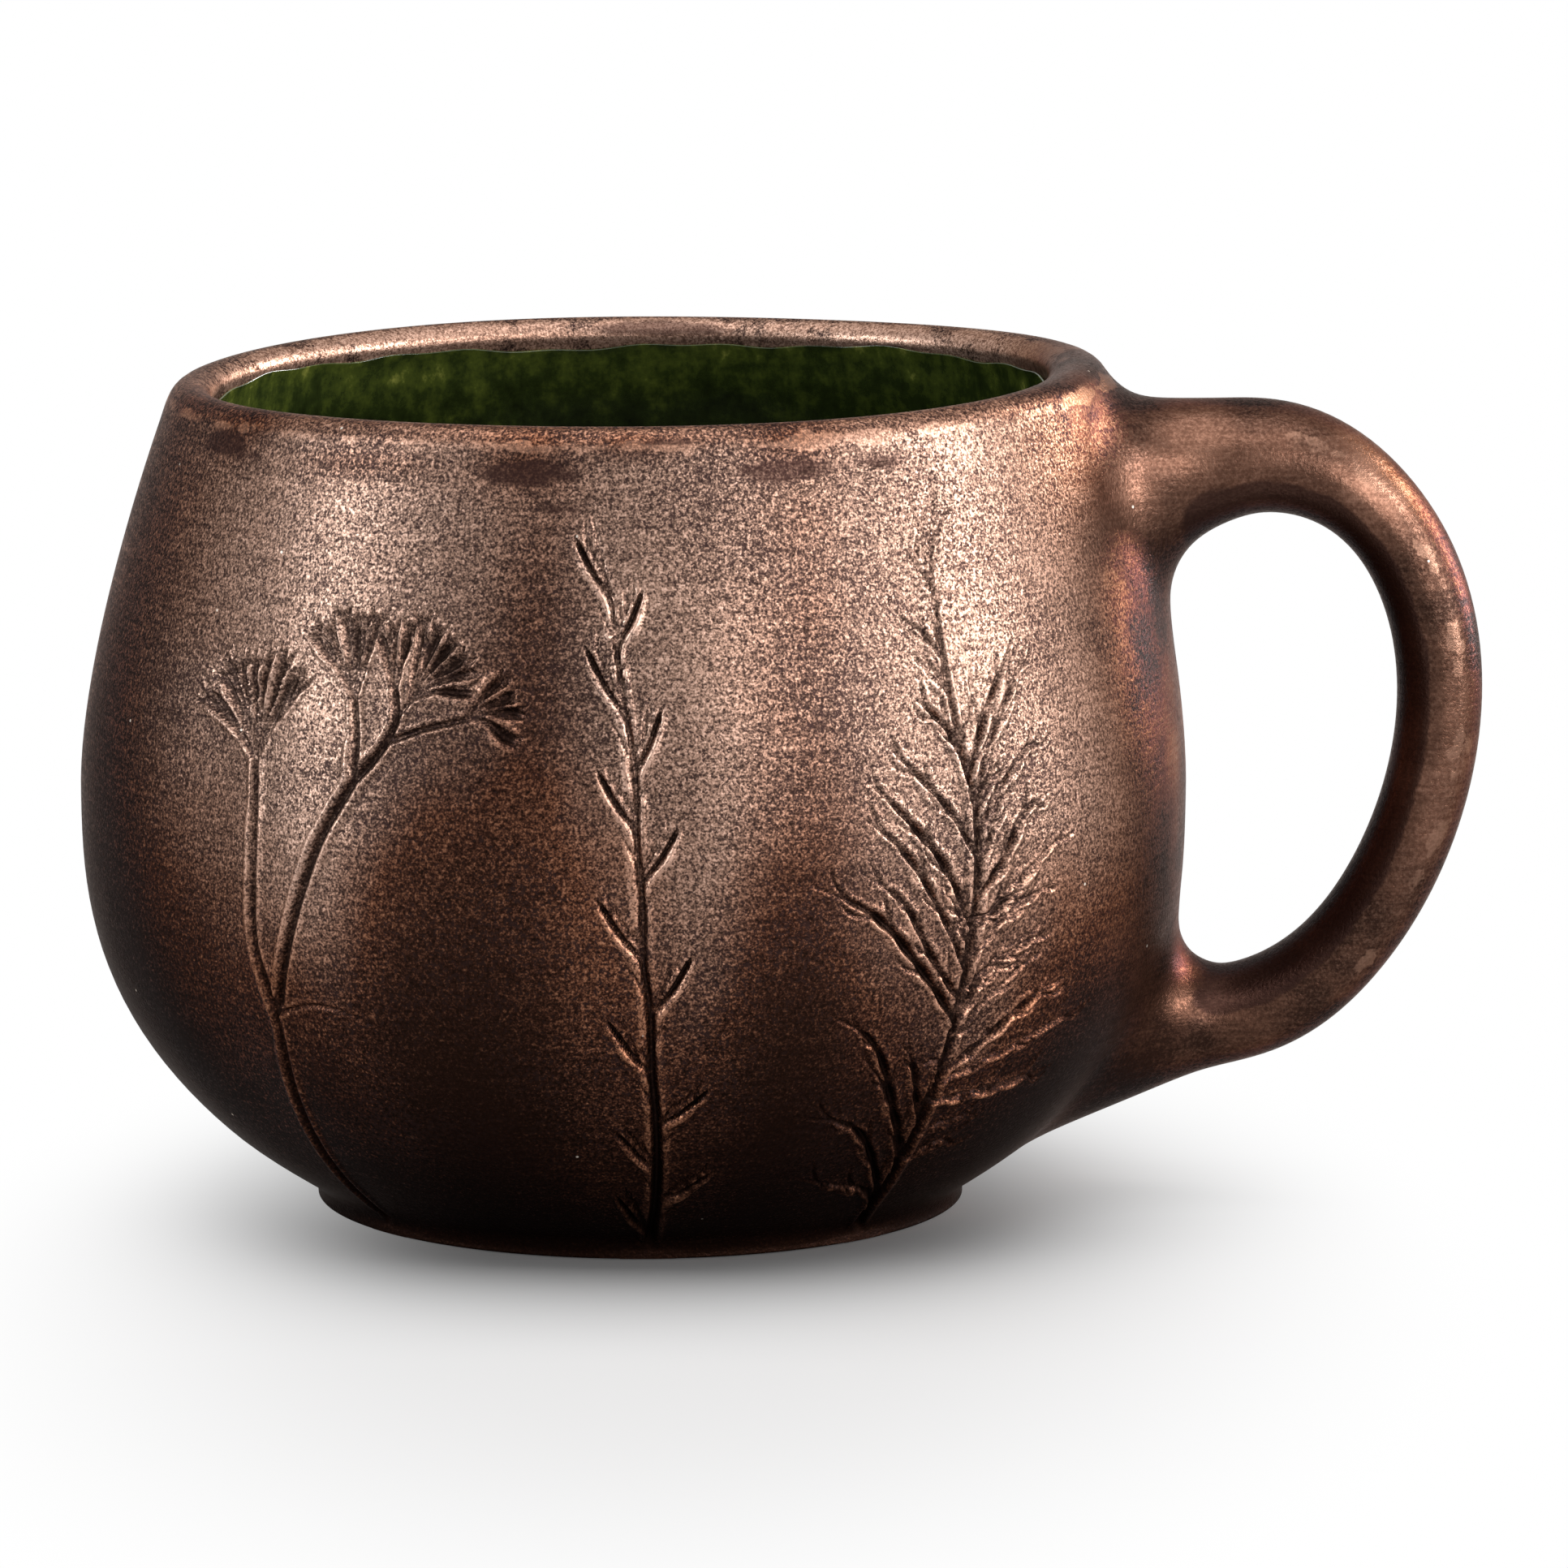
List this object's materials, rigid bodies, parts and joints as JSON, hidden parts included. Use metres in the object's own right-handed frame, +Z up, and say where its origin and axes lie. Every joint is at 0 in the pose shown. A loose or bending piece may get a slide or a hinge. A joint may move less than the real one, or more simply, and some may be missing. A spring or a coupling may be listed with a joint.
{
  "type": "stoneware mug",
  "caption": "Rounded hand-built stoneware mug with a loop handle luted to the wall at both ends, a flat foot and a glazed inside.",
  "frame": {"origin": "centre of the flat foot, on the surface that the mug stands on", "axes": "+Z up, +X towards the handle, -Y towards the side that the picture shows"},
  "size_m": [0.1388, 0.1071, 0.0837],
  "materials": {
    "wall": "bronze lustre over dark iron-rich stoneware, rubbed back, satin",
    "base": "dark lustre on the foot, bare clay under it",
    "coil": "raw fired clay under the glaze",
    "slip": "dried and fired slip, matt",
    "handle": "bronze lustre, rubbed lighter along its ridge, satin",
    "glaze": "glossy mottled dark green glaze"
  },
  "bodies": {
    "root": {"wall": "wall", "base_disc": "base", "base_joint_slip": "slip", "seam_coil": "coil", "handle": "handle", "upper_joint_slip": "slip", "lower_joint_slip": "slip", "glaze_lining": "glaze"}
  },
  "joints": []
}
